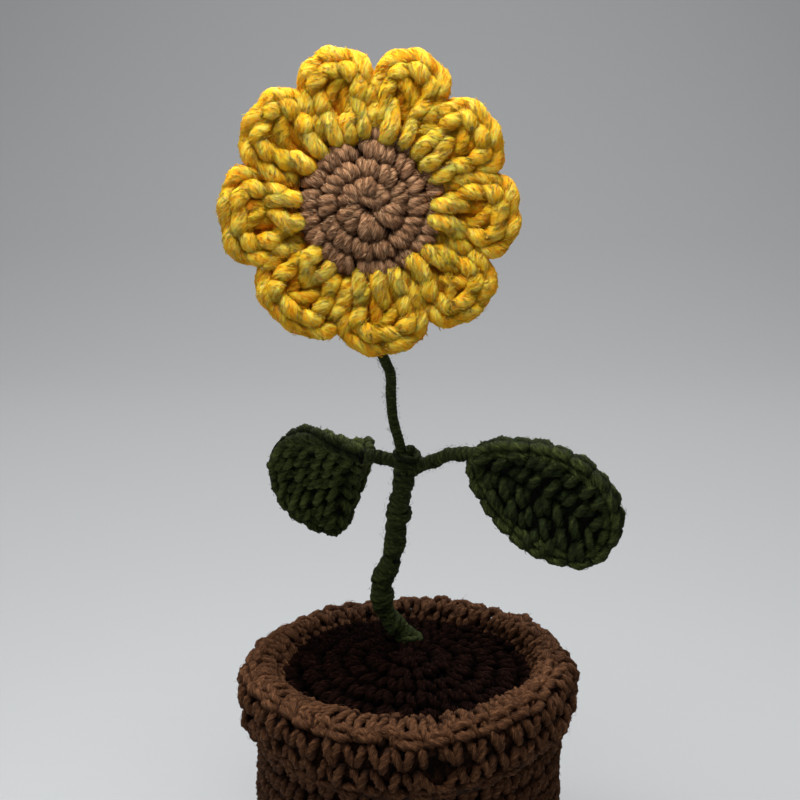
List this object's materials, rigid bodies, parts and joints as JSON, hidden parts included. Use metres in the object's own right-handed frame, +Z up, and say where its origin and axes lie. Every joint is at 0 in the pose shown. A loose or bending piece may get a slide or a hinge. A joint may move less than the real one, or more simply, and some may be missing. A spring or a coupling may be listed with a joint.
{
  "type": "crocheted sunflower in a pot",
  "caption": "Crocheted sunflower with a tan spiral centre, two leaves on a yarn-wrapped wire stem, standing in a stuffed crocheted pot with a folded cuff.",
  "frame": {"origin": "middle of the pot's flat bottom", "axes": "+Z up along the pot's axis; the flower faces -Y; its leaves spread along X"},
  "size_m": [0.089, 0.082, 0.2103],
  "materials": {
    "pot_yarn": "matt mid-brown worsted yarn with loose fibres",
    "soil_yarn": "matt very dark brown yarn",
    "green_yarn": "matt dark olive green yarn",
    "centre_yarn": "matt tan yarn with a soft sheen",
    "petal_yarn": "soft bright yellow yarn with a light sheen",
    "stuffing": "white polyester stuffing",
    "stiffener": "plain stiff plastic sheet",
    "wire": "plain galvanised craft wire"
  },
  "bodies": {
    "root": {"pot_wall": "pot_yarn", "pot_cuff": "pot_yarn", "pot_stiffener": "stiffener", "stuffing": "stuffing", "soil_disc": "soil_yarn", "stem_wire": "wire", "stem_wrap": "green_yarn", "flower_stalk": "green_yarn", "leaf_left_wire": "wire", "leaf_left_stalk": "green_yarn", "leaf_left": "green_yarn", "leaf_right_wire": "wire", "leaf_right_stalk": "green_yarn", "leaf_right": "green_yarn", "flower_centre": "centre_yarn", "flower_back": "centre_yarn", "petal_1": "petal_yarn", "petal_2": "petal_yarn", "petal_3": "petal_yarn", "petal_4": "petal_yarn", "petal_5": "petal_yarn", "petal_6": "petal_yarn", "petal_7": "petal_yarn", "petal_8": "petal_yarn", "petal_9": "petal_yarn"}
  },
  "joints": []
}
